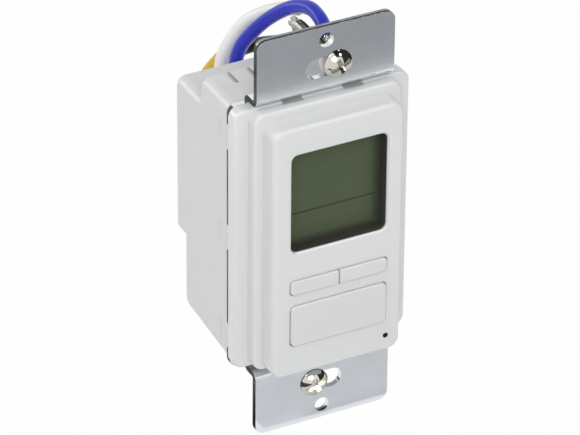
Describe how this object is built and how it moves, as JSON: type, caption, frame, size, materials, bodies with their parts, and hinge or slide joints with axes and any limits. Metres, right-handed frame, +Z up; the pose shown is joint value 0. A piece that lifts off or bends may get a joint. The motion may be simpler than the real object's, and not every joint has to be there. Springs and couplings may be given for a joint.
{
  "type": "timer light switch",
  "caption": "Wall box timer light switch: stepped white bezel with display and push keys, joggled steel strap, deep rear housing and loose leads.",
  "frame": {"origin": "centre of the wall plane, on which the rear faces of the strap ears bear", "axes": "+X right as seen from the room, +Y into the wall, +Z up"},
  "size_m": [0.0442, 0.0721, 0.1036],
  "materials": {
    "white_plastic": "fine moulded satin",
    "key_plastic": "satin moulded",
    "zinc_steel": "bright zinc plate",
    "nickel_steel": "nickel plate",
    "clear_lens": "clear moulded",
    "display_glass": "olive polariser",
    "black_plastic": "matt moulded",
    "reflector_white": "matt",
    "contact_rubber": "matt",
    "board_green": "solder mask",
    "plain_steel": "bright",
    "pin_brass": "plated",
    "relay_blue": "moulded case",
    "capacitor_amber": "dipped",
    "sleeve_blue": "shrunk sleeve",
    "fibre_washer": "pressed fibre",
    "lead_yellow": "extruded",
    "lead_black": "extruded",
    "lead_white": "extruded",
    "lead_blue": "extruded",
    "tinned_strand": "tinned, twisted"
  },
  "bodies": {
    "root": {"mounting_strap": "zinc_steel", "front_bezel": "white_plastic", "rear_housing": "white_plastic", "display_lens": "clear_lens", "lcd_frame": "black_plastic", "lcd_glass": "display_glass", "lcd_reflector": "reflector_white", "contact_strips": "contact_rubber", "key_switches": "black_plastic", "logic_board": "board_green", "logic_board_screws": "plain_steel", "controller_chip": "black_plastic", "clock_crystal": "plain_steel", "header_pins": "pin_brass", "header_body": "black_plastic", "header_socket": "black_plastic", "power_board": "board_green", "relay": "relay_blue", "film_capacitor": "capacitor_amber", "smoothing_capacitor": "sleeve_blue", "backup_capacitor": "sleeve_blue", "varistor": "relay_blue", "rectifier": "black_plastic", "lead_tails": "lead_white", "yellow_lead": "lead_yellow", "black_lead": "lead_black", "white_lead": "lead_white", "blue_lead": "lead_blue", "yellow_strands": "tinned_strand", "black_strands": "tinned_strand", "white_strands": "tinned_strand", "blue_strands": "tinned_strand"},
    "main_button": {"main_key": "key_plastic", "main_plunger": "black_plastic"},
    "left_button": {"left_key": "key_plastic", "left_plunger": "black_plastic"},
    "right_button": {"right_key": "key_plastic", "right_plunger": "black_plastic"},
    "reset": {"reset_button": "key_plastic"},
    "upper_keeper": {"upper_washer": "fibre_washer"},
    "upper_fastener": {"upper_screw": "nickel_steel"},
    "lower_keeper": {"lower_washer": "fibre_washer"},
    "lower_fastener": {"lower_screw": "nickel_steel"}
  },
  "joints": [
    {"name": "main_press", "type": "slide", "parent": "root", "child": "main_button", "axis": [0, 1, 0], "range_m": [0, 0.0005], "stiffness_N_per_m": 1200},
    {"name": "left_press", "type": "slide", "parent": "root", "child": "left_button", "axis": [0, 1, 0], "range_m": [0, 0.0005], "stiffness_N_per_m": 1200},
    {"name": "right_press", "type": "slide", "parent": "root", "child": "right_button", "axis": [0, 1, 0], "range_m": [0, 0.0005], "stiffness_N_per_m": 1200},
    {"name": "reset_press", "type": "slide", "parent": "root", "child": "reset", "axis": [0, 1, 0], "range_m": [0, 0.0003], "stiffness_N_per_m": 1500},
    {"name": "upper_screw_slide", "type": "slide", "parent": "root", "child": "upper_keeper", "axis": [1, 0, 0], "range_m": [-0.00615, 0.00025]},
    {"name": "lower_screw_slide", "type": "slide", "parent": "root", "child": "lower_keeper", "axis": [1, 0, 0], "range_m": [-0.0011, 0.0053]},
    {"name": "upper_screw_turn", "type": "hinge", "parent": "upper_keeper", "child": "upper_fastener", "pos_m": [0.00295, 0, 0.04167], "axis": [0, -1, 0], "continuous": true},
    {"name": "lower_screw_turn", "type": "hinge", "parent": "lower_keeper", "child": "lower_fastener", "pos_m": [-0.0021, 0, -0.04167], "axis": [0, -1, 0], "continuous": true}
  ]
}
